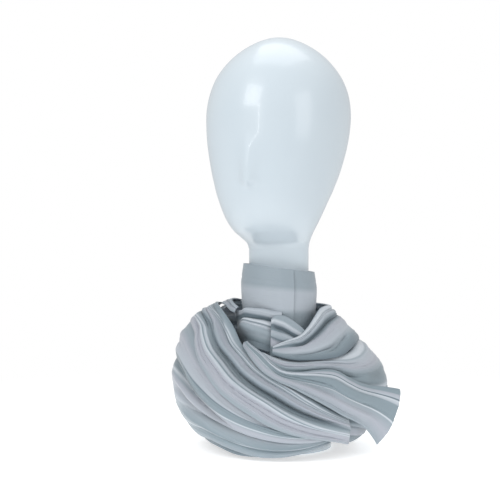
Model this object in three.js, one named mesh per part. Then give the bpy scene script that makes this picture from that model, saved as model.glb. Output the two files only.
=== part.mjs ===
// A long striped chiffon scarf wound round the neck of an egg-shaped display head.
// Millimetres, +Z up, -Y to the front. The origin is on the resting face, under the middle of the neck.
//
// The wound cloth is a heap of stretches. Every place on the heap has three numbers: a turn in degrees
// round the neck (0 in front, + to the right), a girth from 0 (at the neck) to 100 (at the foot), and a
// lift in mm, out from the heap's plain form. A stretch is a thin wall between two edges drawn on it.
import * as THREE from "three";

const WALL = 1.5;            // cloth, several soft layers thick
const STEP = 1e-3;           // share of a surface used to find its slope
const HEAP_ROW_TURN = 45;    // degrees between the rows of HEAP
const GIRTH_STEP = 20;       // girth between the stations of a row

const CLOTH = { colour: 0x98a3ae, roughness: 0.55, metalness: 0 };
const GLOSS = { colour: 0xdfe8ef, roughness: 0.12, metalness: 0 };

// Section through the heap at each turn: [out, up] at girth 0, 20, 40, 60, 80 and 100.
const HEAP = [
  { turn: -180, section: [[50, 163], [72, 149], [98, 121], [108, 82], [104, 42], [84, 3]] },
  { turn: -135, section: [[50, 166], [77, 154], [106, 126], [115, 87], [110, 44], [86, 3]] },
  { turn: -90, section: [[50, 167], [80, 156], [111, 130], [121, 92], [115, 46], [84, 3]] },
  { turn: -45, section: [[48, 165], [72, 142], [98, 116], [111, 81], [112, 42], [90, 3]] },
  { turn: 0, section: [[46, 160], [62, 128], [90, 100], [107, 70], [111, 38], [93, 2]] },
  { turn: 45, section: [[48, 160], [69, 133], [95, 105], [111, 74], [112, 42], [94, 5]] },
  { turn: 90, section: [[52, 163], [76, 138], [104, 110], [122, 80], [118, 42], [88, 4]] },
  { turn: 135, section: [[51, 164], [75, 145], [101, 116], [116, 82], [109, 42], [86, 3]] },
];

// Column names of a stretch: its upper and lower edge on the heap, and the lift of both and the middle.
const EDGE_COLUMNS = ["upTurn", "upGirth", "loTurn", "loGirth", "upLift", "midLift", "loLift"];
// Column names of its folds: place across at the start and end, from and to along, height, half width.
const FOLD_COLUMNS = ["across", "acrossEnd", "from", "to", "height", "half"];

const STRETCHES = {
  inner_wrap: {
    cells: [14, 6],
    edges: [
      [-66, 5, -64, 20, -8, -26, -40],
      [-54, 5, -54, 22, -5, -16, -34],
      [-43, 5, -42, 24, 1, -6, -24],
      [-31, 4, -30, 26, 2, -3, -14],
      [-20, 3, -19, 27, 2, -2, -9],
      [-8, 3, -7, 27, 1, -3, -9],
      [2, 3, 2, 25, 1.5, -3, -9],
    ],
    folds: [
      [0.3, 0.25, 0.1, 0.9, -1.6, 0.08],
      [0.55, 0.5, 0.1, 0.9, 1.5, 0.1],
    ],
  },
  turned_fold: {
    cells: [12, 7],
    edges: [
      [-10, 9, -9, 30, 3, 1, -7],
      [-5, 6, -3, 30, 3, 1, -8],
      [5, 6, 6, 28, 3, 0, -8],
      [14, 9, 15, 27, 3, -1, -8],
      [22, 13, 24, 26, 1, -3, -8],
      [30, 17, 32, 25, -4, -6, -8],
    ],
    folds: [
      [0.2, 0.75, 0.0, 1.0, -1.8, 0.09],
      [0.5, 1.0, 0.0, 0.8, 1.6, 0.1],
    ],
  },
  upper_loop: {
    cells: [34, 8],
    edges: [
      [-7, 26, -7, 31, -2, -2, -2],
      [1, 23, 2, 34, 0, 0, 1],
      [10, 21, 12, 36, 1, 2, 2],
      [20, 19, 22, 37, 1, 2, 2],
      [31, 14, 32, 38, 1, 2, 2],
      [43, 8, 43, 38, 1, 1, 2],
      [58, 3, 56, 35, 1, 1, 1],
      [74, 2, 70, 32, 1, 1, 1],
      [92, 3, 92, 31, 1, 1, 1],
      [120, 3, 120, 35, 0, 0, 2],
      [150, 3, 150, 38, 0, 0, 2],
      [180, 3, 180, 38, 0, 0, 2],
      [208, 3, 208, 38, 0, 0, 2],
      [232, 3, 230, 37, -2, -2, -2],
      [254, 4, 250, 33, -3, -5, -6],
      [276, 5, 268, 28, -4, -8, -10],
    ],
    folds: [
      [0.3, 0.3, 0.1, 0.5, -2.6, 0.1],
      [0.62, 0.55, 0.15, 0.45, -2.0, 0.08],
      [0.4, 0.6, 0.5, 0.95, -2.8, 0.12],
      [0.75, 0.3, 0.45, 0.8, 2.0, 0.1],
    ],
  },
  lower_loop: {
    cells: [34, 8],
    edges: [
      [-25, 30, -27, 32, -12, -12, -12],
      [-16, 31, -17, 35, -4, -3, -4],
      [-6, 32, -7, 42, -4.7, 0, -5],
      [4, 33, 3, 47, -4.7, 0, -5],
      [15, 34, 14, 48, -4.7, 0, -5],
      [27, 35, 26, 49, -3.1, 0, -5],
      [39, 36, 36, 53, -2.1, 0, -5],
      [51, 36, 47, 61, -2.1, 1, -5],
      [63, 34, 58, 66, -2.1, 1, -4],
      [76, 30, 70, 70, -2.1, 1, -1],
      [92, 26, 90, 71, -3.1, 1, 1],
      [118, 28, 118, 69, -1.5, 0, 1],
      [146, 32, 146, 67, -1.5, 0, 0],
      [170, 32, 170, 66, -1.5, -2, -2],
      [192, 32, 192, 65, -1.5, -3, -3],
      [216, 32, 216, 63, -7, -5, -5],
      [238, 34, 240, 60, -12, -11, -12],
    ],
    folds: [
      [0.75, 0.5, 0.15, 0.5, -2.4, 0.1],
      [0.5, 0.75, 0.45, 0.9, -2.8, 0.1],
      [0.8, 0.5, 0.55, 0.85, 2.0, 0.1],
    ],
  },
  tail: {
    cells: [28, 8],
    edges: [
      [-30, 26, -32, 28, -6, -6, -6],
      [-26, 28, -30, 31, -3, -3, -3],
      [-19, 31, -25, 35, 0, 0, 0],
      [-12, 34, -19, 40, 1, 2, 1],
      [-5, 39, -11, 46, 2, 3, 2],
      [2, 43, -3, 50, 2, 3, 2],
      [13, 44, 6, 54, 2, 3, 2],
      [24, 44, 15, 60, 2, 3, 2],
      [35, 46, 24, 67, 2, 3, 2],
      [43, 52, 34, 75, 2, 3, 3],
      [51, 57, 43, 80, 2, 3, 4],
      [60, 61, 53, 85, 6, 6, 6],
      [67, 65, 62, 91, 24, 22, 20],
    ],
    folds: [
      [0.3, 0.85, 0.3, 0.75, -2.2, 0.1],
      [0.55, 0.35, 0.55, 1.0, 2.0, 0.12],
    ],
  },
  front_sweep: {
    cells: [32, 9],
    edges: [
      [-114, 13, -120, 30, 1, 1, 1],
      [-98, 13, -104, 31, 2, 2, 1],
      [-83, 13, -91, 32, 2, 3, 2],
      [-69, 14, -79, 33, 1, 3, 2],
      [-56, 17, -68, 36, -1, 3, 2],
      [-44, 22, -62, 42, -3, 3, 2],
      [-35, 28, -55, 49, -6.7, 2, 2],
      [-24, 34, -47, 55, -5.7, 1, 2],
      [-15, 40, -38, 62, -4.7, 1, 2],
      [-6, 45, -29, 67, -3.4, 1, 2],
      [5, 51, -17, 73, -3.4, 1, 2],
      [16, 60, -4, 80, -3.4, 1, 2],
      [26, 69, 12, 86, -3.4, 1, 2],
      [34, 75, 30, 91, -3.4, 1, 1],
      [41, 79, 48, 96, -3.4, -1, 0],
    ],
    folds: [
      [0.25, 0.4, 0.05, 0.5, -2.4, 0.08],
      [0.62, 0.42, 0.15, 1.0, -3.2, 0.09],
      [0.8, 0.62, 0.05, 0.95, 1.8, 0.07],
      [0.5, 0.25, 0.2, 0.8, 1.6, 0.08],
    ],
  },
  left_loop: {
    cells: [34, 9],
    edges: [
      [-196, 63, -196, 94, 2, 1, 0],
      [-176, 59, -176, 96, 3, 2, 1],
      [-154, 52, -154, 96, 2, 2, 1],
      [-132, 43, -132, 95, 1, 2, 1],
      [-112, 34, -114, 94, 0, 1, 0],
      [-94, 30, -98, 93, -1, 0, 0],
      [-78, 30, -84, 93, -4, 0, 0],
      [-66, 36, -72, 93, -5, 0, 0],
      [-56, 44, -61, 93, -5, 0, 0],
      [-47, 51, -51, 93, -5, 0, 0],
      [-38, 57, -41, 95, -5, 0, 0],
      [-27, 63, -30, 97, -5, 0, 0],
      [-15, 69, -17, 99, -5, 0, 0],
      [-1, 76, -2, 99, -5, 0, 0],
      [14, 82, 14, 97, -5, -1, 0],
      [31, 87, 32, 95, -6, -5, -5],
    ],
    folds: [
      [0.3, 0.62, 0.3, 0.75, -3.0, 0.07],
      [0.55, 0.72, 0.35, 0.8, -2.4, 0.07],
      [0.8, 0.6, 0.4, 1.0, -2.0, 0.06],
      [0.4, 0.5, 0.0, 0.4, -3.0, 0.09],
      [0.7, 0.65, 0.05, 0.4, 2.0, 0.08],
    ],
  },
  under_layer: {
    cells: [14, 4],
    edges: [
      [-84, 84, -84, 95, -5.1, -5.1, -5.1],
      [-68, 84, -66, 97, -5.1, -5.1, -4.1],
      [-52, 86, -48, 98, -5.1, -4.1, -3.1],
      [-36, 87, -33, 100, -5.1, -4.1, -2.1],
      [-20, 88, -18, 100, -5.1, -4.1, -2.1],
      [-6, 88, -4, 100, -5.1, -4.1, -4.1],
      [8, 87, 8, 97, -6.1, -6.1, -6.1],
    ],
    folds: [],
  },
  back_roll: {
    cells: [18, 7],
    edges: [
      [34, 81, 34, 93, -13, -13, -12],
      [50, 78, 50, 95, -12, -11, -10],
      [66, 71, 66, 97, -9, -8, -8],
      [84, 63, 84, 97, -7, -2, -3],
      [110, 61, 110, 97, -4.8, 0, 0],
      [136, 60, 136, 97, -4.8, 0, 0],
      [162, 60, 162, 96, -4.8, -3, -3],
      [186, 62, 186, 94, -7, -8, -8],
    ],
    folds: [
      [0.6, 0.5, 0.1, 0.9, -2.6, 0.11],
    ],
  },
  end_fold: {
    cells: [10, 6],
    edges: [
      [34, 80, 35, 93, -9, -9, -9],
      [43, 80, 44, 96, -8, -7, -7],
      [53, 81, 54, 97, -4, -3, -4],
      [64, 85, 65, 96, -3, -2, -3],
      [74, 88, 75, 94, -3, -3, -3],
    ],
    folds: [],
  },
  crown_fold: {
    cells: [12, 5],
    edges: [
      [-130, 3, -128, 12, 0.4, 0.4, 0.4],
      [-112, 2, -110, 10, 1.4, 1.4, 0.4],
      [-94, 2, -92, 10, 1.4, 1.4, 0.4],
      [-78, 3, -76, 9, 1.4, 1.4, 0.4],
      [-67, 4, -65, 10, -0.6, 0.4, -1.6],
      [-58, 5, -57, 10, -1.6, -1.6, -2.6],
    ],
    folds: [],
  },
};

// Neck band: its wall at five heights, [out, up], and the tilt of its top, which is higher on the left.
const BAND = { turnStart: 2, turns: 378, cells: [40, 5], lapFrom: 0.9, lapLift: 2.4, forward: 4.6 };
const BAND_WALL = [
  { out: 40, up: 126 },
  { out: 40.6, up: 152 },
  { out: 43, up: 176 },
  { out: 40.5, up: 198 },
  { out: 40, up: 217 },
];
const BAND_TILT = 3.2;

// Display head: rings from the resting face up, in the head's own frame, which faces yaw degrees round.
const HEAD_YAW = -22;
const HEAD_AROUND = 56;
const HEAD_RINGS = [
  { up: 0, halfWidth: 60, halfDepth: 60, forward: 0 },
  { up: 5, halfWidth: 60, halfDepth: 60, forward: 0 },
  { up: 9, halfWidth: 56, halfDepth: 56, forward: 0 },
  { up: 16, halfWidth: 46, halfDepth: 46, forward: 0 },
  { up: 30, halfWidth: 38, halfDepth: 38, forward: 0 },
  { up: 54, halfWidth: 34.5, halfDepth: 34.5, forward: 0 },
  { up: 90, halfWidth: 34, halfDepth: 34, forward: 0 },
  { up: 224, halfWidth: 34, halfDepth: 34, forward: 0 },
  { up: 231, halfWidth: 35.5, halfDepth: 37, forward: 2 },
  { up: 237, halfWidth: 39, halfDepth: 44, forward: 8 },
  { up: 244, halfWidth: 44, halfDepth: 51, forward: 15 },
  { up: 254, halfWidth: 50, halfDepth: 58, forward: 18 },
  { up: 266, halfWidth: 55.5, halfDepth: 65, forward: 18 },
  { up: 280, halfWidth: 61, halfDepth: 72, forward: 16 },
  { up: 288, halfWidth: 64, halfDepth: 76, forward: 14 },
  { up: 296, halfWidth: 66.5, halfDepth: 79.5, forward: 12 },
  { up: 306, halfWidth: 69.5, halfDepth: 84, forward: 9.5 },
  { up: 320, halfWidth: 73, halfDepth: 89, forward: 6.5 },
  { up: 340, halfWidth: 77, halfDepth: 94.5, forward: 3 },
  { up: 360, halfWidth: 79.5, halfDepth: 97.5, forward: 0 },
  { up: 380, halfWidth: 80, halfDepth: 98, forward: -2 },
  { up: 400, halfWidth: 77, halfDepth: 94, forward: -4 },
  { up: 418, halfWidth: 70, halfDepth: 86, forward: -5 },
  { up: 434, halfWidth: 59, halfDepth: 73, forward: -6 },
  { up: 447, halfWidth: 46, halfDepth: 57, forward: -7 },
  { up: 457, halfWidth: 31, halfDepth: 39, forward: -7 },
  { up: 463, halfWidth: 18, halfDepth: 23, forward: -7 },
];
const HEAD_CROWN = { up: 466, forward: -7 };
// The nose is a faint ridge that ends in a soft tip: where it starts, its tip and its underside.
const NOSE = { from: 352, tip: 298, under: 287, height: 8, halfTurn: 7 };

function smooth(share) {
  const s = Math.min(1, Math.max(0, share));
  return s * s * (3 - 2 * s);
}

// Smooth curve through evenly spaced values: at(i) gives the value at whole place i.
function through(at, place) {
  const i = Math.floor(place);
  const s = place - i;
  const [a, b, c, d] = [at(i - 1), at(i), at(i + 1), at(i + 2)];
  return b + 0.5 * s * (c - a + s * (2 * a - 5 * b + 4 * c - d + s * (3 * (b - c) + d - a)));
}

// The same through a list with two ends, which carries straight on past them.
function throughList(list, place) {
  const last = list.length - 1;
  const at = (i) => {
    if (i < 0) return list[0] + i * (list[1] - list[0]);
    if (i > last) return list[last] + (i - last) * (list[last] - list[last - 1]);
    return list[i];
  };
  return through(at, place);
}

// [out, up] of the heap's plain form.
function heapSection(turn, girth) {
  const place = (turn + 180) / HEAP_ROW_TURN;
  const rows = HEAP.length;
  return [0, 1].map((axis) => through((i) => {
    const row = HEAP[((i % rows) + rows) % rows];
    return throughList(row.section.map((pair) => pair[axis]), girth / GIRTH_STEP);
  }, place));
}

function heapPoint(turn, girth, lift) {
  const [out, up] = heapSection(turn, girth);
  const [outBefore, upBefore] = heapSection(turn, girth - 1);
  const [outAfter, upAfter] = heapSection(turn, girth + 1);
  const slope = new THREE.Vector2(upBefore - upAfter, outAfter - outBefore).normalize();
  const angle = THREE.MathUtils.degToRad(turn);
  const reach = out + slope.x * lift;
  return new THREE.Vector3(reach * Math.sin(angle), -reach * Math.cos(angle), up + slope.y * lift);
}

// Height of the folds at a place along and across a stretch. They die away towards both edges.
function foldHeight(folds, along, across) {
  let height = 0;
  for (const row of folds) {
    const fold = Object.fromEntries(FOLD_COLUMNS.map((name, i) => [name, row[i]]));
    const share = (along - fold.from) / (fold.to - fold.from);
    const middle = fold.across + (fold.acrossEnd - fold.across) * along;
    const run = smooth(share / 0.25) * smooth((1 - share) / 0.25);
    height += fold.height * run * Math.exp(-(((across - middle) / fold.half) ** 2));
  }
  return height * smooth(across / 0.2) * smooth((1 - across) / 0.2);
}

function stretchPoint(stretch, along, across) {
  const place = along * (stretch.edges.length - 1);
  const at = {};
  EDGE_COLUMNS.forEach((name, i) => {
    at[name] = throughList(stretch.edges.map((row) => row[i]), place);
  });
  const turn = at.upTurn + (at.loTurn - at.upTurn) * across;
  const girth = at.upGirth + (at.loGirth - at.upGirth) * across;
  const upper = 1 - smooth(across / 0.5);
  const lower = 1 - smooth((1 - across) / 0.5);
  const rest = 1 - upper - lower;
  const lift = at.upLift * upper + at.midLift * rest + at.loLift * lower;
  return heapPoint(turn, girth, lift + foldHeight(stretch.folds, along, across));
}

// The band is one ribbon round the neck. Its last stretch climbs over its first.
function bandPoint(along, across) {
  const angle = THREE.MathUtils.degToRad(BAND.turnStart + BAND.turns * along);
  const lap = BAND.lapLift * smooth((along - BAND.lapFrom) / 0.06);
  const place = across * (BAND_WALL.length - 1);
  const out = throughList(BAND_WALL.map((row) => row.out), place) + lap;
  const up = throughList(BAND_WALL.map((row) => row.up), place);
  const tilt = -BAND_TILT * Math.sin(angle) * across;
  return new THREE.Vector3(out * Math.sin(angle), -out * Math.cos(angle) - BAND.forward, up + tilt);
}

// A closed thin wall on a surface given as a function of two shares from 0 to 1.
function wallOn(surface, [cellsAlong, cellsAcross]) {
  const points = [];
  const faces = [];
  const rows = cellsAcross + 1;
  const side = (cellsAlong + 1) * rows;
  for (const half of [WALL / 2, -WALL / 2]) {
    for (let i = 0; i <= cellsAlong; i++) {
      for (let j = 0; j <= cellsAcross; j++) {
        const along = i / cellsAlong;
        const even = j / cellsAcross;
        const across = even - 0.09 * Math.sin(2 * Math.PI * even);
        const a0 = Math.max(0, along - STEP);
        const c0 = Math.max(0, across - STEP);
        const a1 = Math.min(1, along + STEP);
        const c1 = Math.min(1, across + STEP);
        const run = surface(a1, across).sub(surface(a0, across));
        const rise = surface(along, c1).sub(surface(along, c0));
        const normal = rise.cross(run).normalize();
        points.push(...surface(along, across).addScaledVector(normal, half).toArray());
      }
    }
  }
  const quad = (a, b, c, d) => faces.push(a, b, c, a, c, d);
  const at = (i, j) => i * rows + j;
  for (let i = 0; i < cellsAlong; i++) {
    for (let j = 0; j < cellsAcross; j++) {
      const [a, b, c, d] = [at(i, j), at(i, j + 1), at(i + 1, j + 1), at(i + 1, j)];
      quad(a, b, c, d);
      quad(d + side, c + side, b + side, a + side);
    }
  }
  const rim = (a, b) => quad(b, a, a + side, b + side);
  for (let i = 0; i < cellsAlong; i++) {
    rim(at(i + 1, 0), at(i, 0));
    rim(at(i, cellsAcross), at(i + 1, cellsAcross));
  }
  for (let j = 0; j < cellsAcross; j++) {
    rim(at(0, j), at(0, j + 1));
    rim(at(cellsAlong, j + 1), at(cellsAlong, j));
  }
  return bodyFrom(points, faces);
}

function bodyFrom(points, faces) {
  const body = new THREE.BufferGeometry();
  body.setAttribute("position", new THREE.Float32BufferAttribute(points, 3));
  body.setIndex(faces);
  body.computeVertexNormals();
  return body;
}

function noseHeight(up, turn) {
  const down = up >= NOSE.tip
    ? smooth((NOSE.from - up) / (NOSE.from - NOSE.tip))
    : smooth((up - NOSE.under) / (NOSE.tip - NOSE.under));
  return NOSE.height * down * Math.exp(-((turn / NOSE.halfTurn) ** 2));
}

function headBody() {
  const yaw = THREE.MathUtils.degToRad(HEAD_YAW);
  const place = (side, ahead, up) => [
    side * Math.cos(yaw) + ahead * Math.sin(yaw),
    side * Math.sin(yaw) - ahead * Math.cos(yaw),
    up,
  ];
  const points = [];
  const faces = [];
  for (const ring of HEAD_RINGS) {
    for (let k = 0; k < HEAD_AROUND; k++) {
      const even = (2 * Math.PI * k) / HEAD_AROUND;
      const angle = even - 0.3 * Math.sin(even);
      const turn = THREE.MathUtils.radToDeg(angle > Math.PI ? angle - 2 * Math.PI : angle);
      const nose = noseHeight(ring.up, turn);
      const ahead = ring.forward + (ring.halfDepth + nose) * Math.cos(angle);
      points.push(...place(ring.halfWidth * Math.sin(angle), ahead, ring.up));
    }
  }
  const foot = points.length / 3;
  points.push(...place(0, 0, 0));
  const crown = foot + 1;
  points.push(...place(0, HEAD_CROWN.forward, HEAD_CROWN.up));
  const top = (HEAD_RINGS.length - 1) * HEAD_AROUND;
  for (let k = 0; k < HEAD_AROUND; k++) {
    const next = (k + 1) % HEAD_AROUND;
    for (let r = 0; r < HEAD_RINGS.length - 1; r++) {
      const [a, b] = [r * HEAD_AROUND + k, r * HEAD_AROUND + next];
      const [c, d] = [b + HEAD_AROUND, a + HEAD_AROUND];
      faces.push(a, b, c, a, c, d);
    }
    faces.push(foot, next, k);
    faces.push(crown, top + k, top + next);
  }
  return bodyFrom(points, faces);
}

function piece(name, geometry, finish) {
  const material = new THREE.MeshStandardMaterial({
    color: finish.colour,
    roughness: finish.roughness,
    metalness: finish.metalness,
  });
  const mesh = new THREE.Mesh(geometry, material);
  mesh.name = name;
  return mesh;
}

const scarf = new THREE.Group();
scarf.name = "scarf_on_display_head";
scarf.add(piece("display_head", headBody(), GLOSS));
scarf.add(piece("neck_band", wallOn(bandPoint, BAND.cells), CLOTH));
for (const [name, stretch] of Object.entries(STRETCHES)) {
  const surface = (along, across) => stretchPoint(stretch, along, across);
  scarf.add(piece(name, wallOn(surface, stretch.cells), CLOTH));
}

export default scarf;
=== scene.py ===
# %% [markdown]
# # A chiffon scarf wound on a display head
# A long striped scarf lies in soft loops round the neck of an egg-shaped display head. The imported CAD
# model gives each stretch of the cloth as a plain thin wall. Here each stretch gets its fine folds, its
# woven stripes and its satin sheen.

# %% Load the frame
import math

import bpy
import numpy as np
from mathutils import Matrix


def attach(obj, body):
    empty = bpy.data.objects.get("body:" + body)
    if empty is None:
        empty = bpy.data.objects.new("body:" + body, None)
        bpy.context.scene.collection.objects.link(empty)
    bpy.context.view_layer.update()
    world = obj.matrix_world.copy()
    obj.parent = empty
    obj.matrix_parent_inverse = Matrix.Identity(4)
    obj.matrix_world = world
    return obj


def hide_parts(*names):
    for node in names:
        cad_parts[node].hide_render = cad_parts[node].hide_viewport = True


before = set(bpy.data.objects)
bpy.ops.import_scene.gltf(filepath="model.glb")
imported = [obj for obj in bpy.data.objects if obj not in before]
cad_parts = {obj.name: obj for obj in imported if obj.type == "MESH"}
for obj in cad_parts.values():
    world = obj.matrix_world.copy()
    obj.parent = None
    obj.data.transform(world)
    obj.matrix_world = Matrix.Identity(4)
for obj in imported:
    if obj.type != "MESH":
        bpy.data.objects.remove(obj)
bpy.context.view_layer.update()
MM = 0.001

# %% [markdown]
# Every place on the heap of cloth has three numbers: a turn in degrees round the neck (0 in front, + to
# the right), a girth from 0 at the neck to 100 at the foot, and a lift in mm out from the heap's plain
# form. HEAP holds that form as sections of [out, up] in mm, one every 45 degrees from the back, each at
# girth 0, 20, 40, 60, 80 and 100. A stretch is a strip between two edges drawn on the heap.

# %% Sizes of the heap and of the stretches
HEAP_ROW_TURN = 45
GIRTH_STEP = 20
CLOTH_THICK = 0.9
HEAP = [
    [[50, 163], [72, 149], [98, 121], [108, 82], [104, 42], [84, 3]],
    [[50, 166], [77, 154], [106, 126], [115, 87], [110, 44], [86, 3]],
    [[50, 167], [80, 156], [111, 130], [121, 92], [115, 46], [84, 3]],
    [[48, 165], [72, 142], [98, 116], [111, 81], [112, 42], [90, 3]],
    [[46, 160], [62, 128], [90, 100], [107, 70], [111, 38], [93, 2]],
    [[48, 160], [69, 133], [95, 105], [111, 74], [112, 42], [94, 5]],
    [[52, 163], [76, 138], [104, 110], [122, 80], [118, 42], [88, 4]],
    [[51, 164], [75, 145], [101, 116], [116, 82], [109, 42], [86, 3]],
]

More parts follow.
